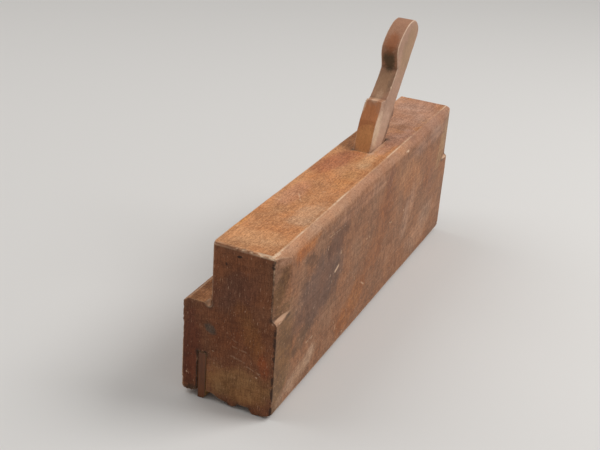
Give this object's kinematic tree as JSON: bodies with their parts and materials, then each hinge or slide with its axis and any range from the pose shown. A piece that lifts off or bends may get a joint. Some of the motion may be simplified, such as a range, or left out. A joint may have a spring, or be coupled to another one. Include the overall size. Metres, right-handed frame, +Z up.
{
  "type": "wooden moulding plane",
  "caption": "Stepped wooden moulding plane with a shaped sole, let-in boxwood strip, side opening for shavings, and a tapered iron held on its sloping bed by a carved wedge.",
  "frame": {"origin": "on the bench, under the middle of the stock's length and width", "axes": "+Y towards the heel, -Y the toe; +X the blind side, -X the side with the shoulder and the shaving opening; +Z up"},
  "size_m": [0.0476, 0.2414, 0.1459],
  "materials": {
    "stock_beech": "aged beech, handled and oiled, end grain darker",
    "boxwood": "dense boxwood, rubbed smooth and darkened",
    "wedge_beech": "aged beech, worn pale on its corners",
    "iron": "forged, browned with old rust, ground bright at the edge"
  },
  "bodies": {
    "stock": {"stock": "stock_beech", "boxing_toe": "boxwood", "boxing_heel": "boxwood"},
    "wedge": {"wedge": "wedge_beech"},
    "iron": {"iron": "iron"}
  },
  "joints": [
    {"name": "wedge_slide", "type": "slide", "parent": "stock", "child": "wedge", "axis": [0, 0.6191, 0.7853], "range_m": [0, 0.06]},
    {"name": "iron_slide", "type": "slide", "parent": "stock", "child": "iron", "axis": [0, -0.6088, -0.7934], "range_m": [0, 0.1256]}
  ]
}
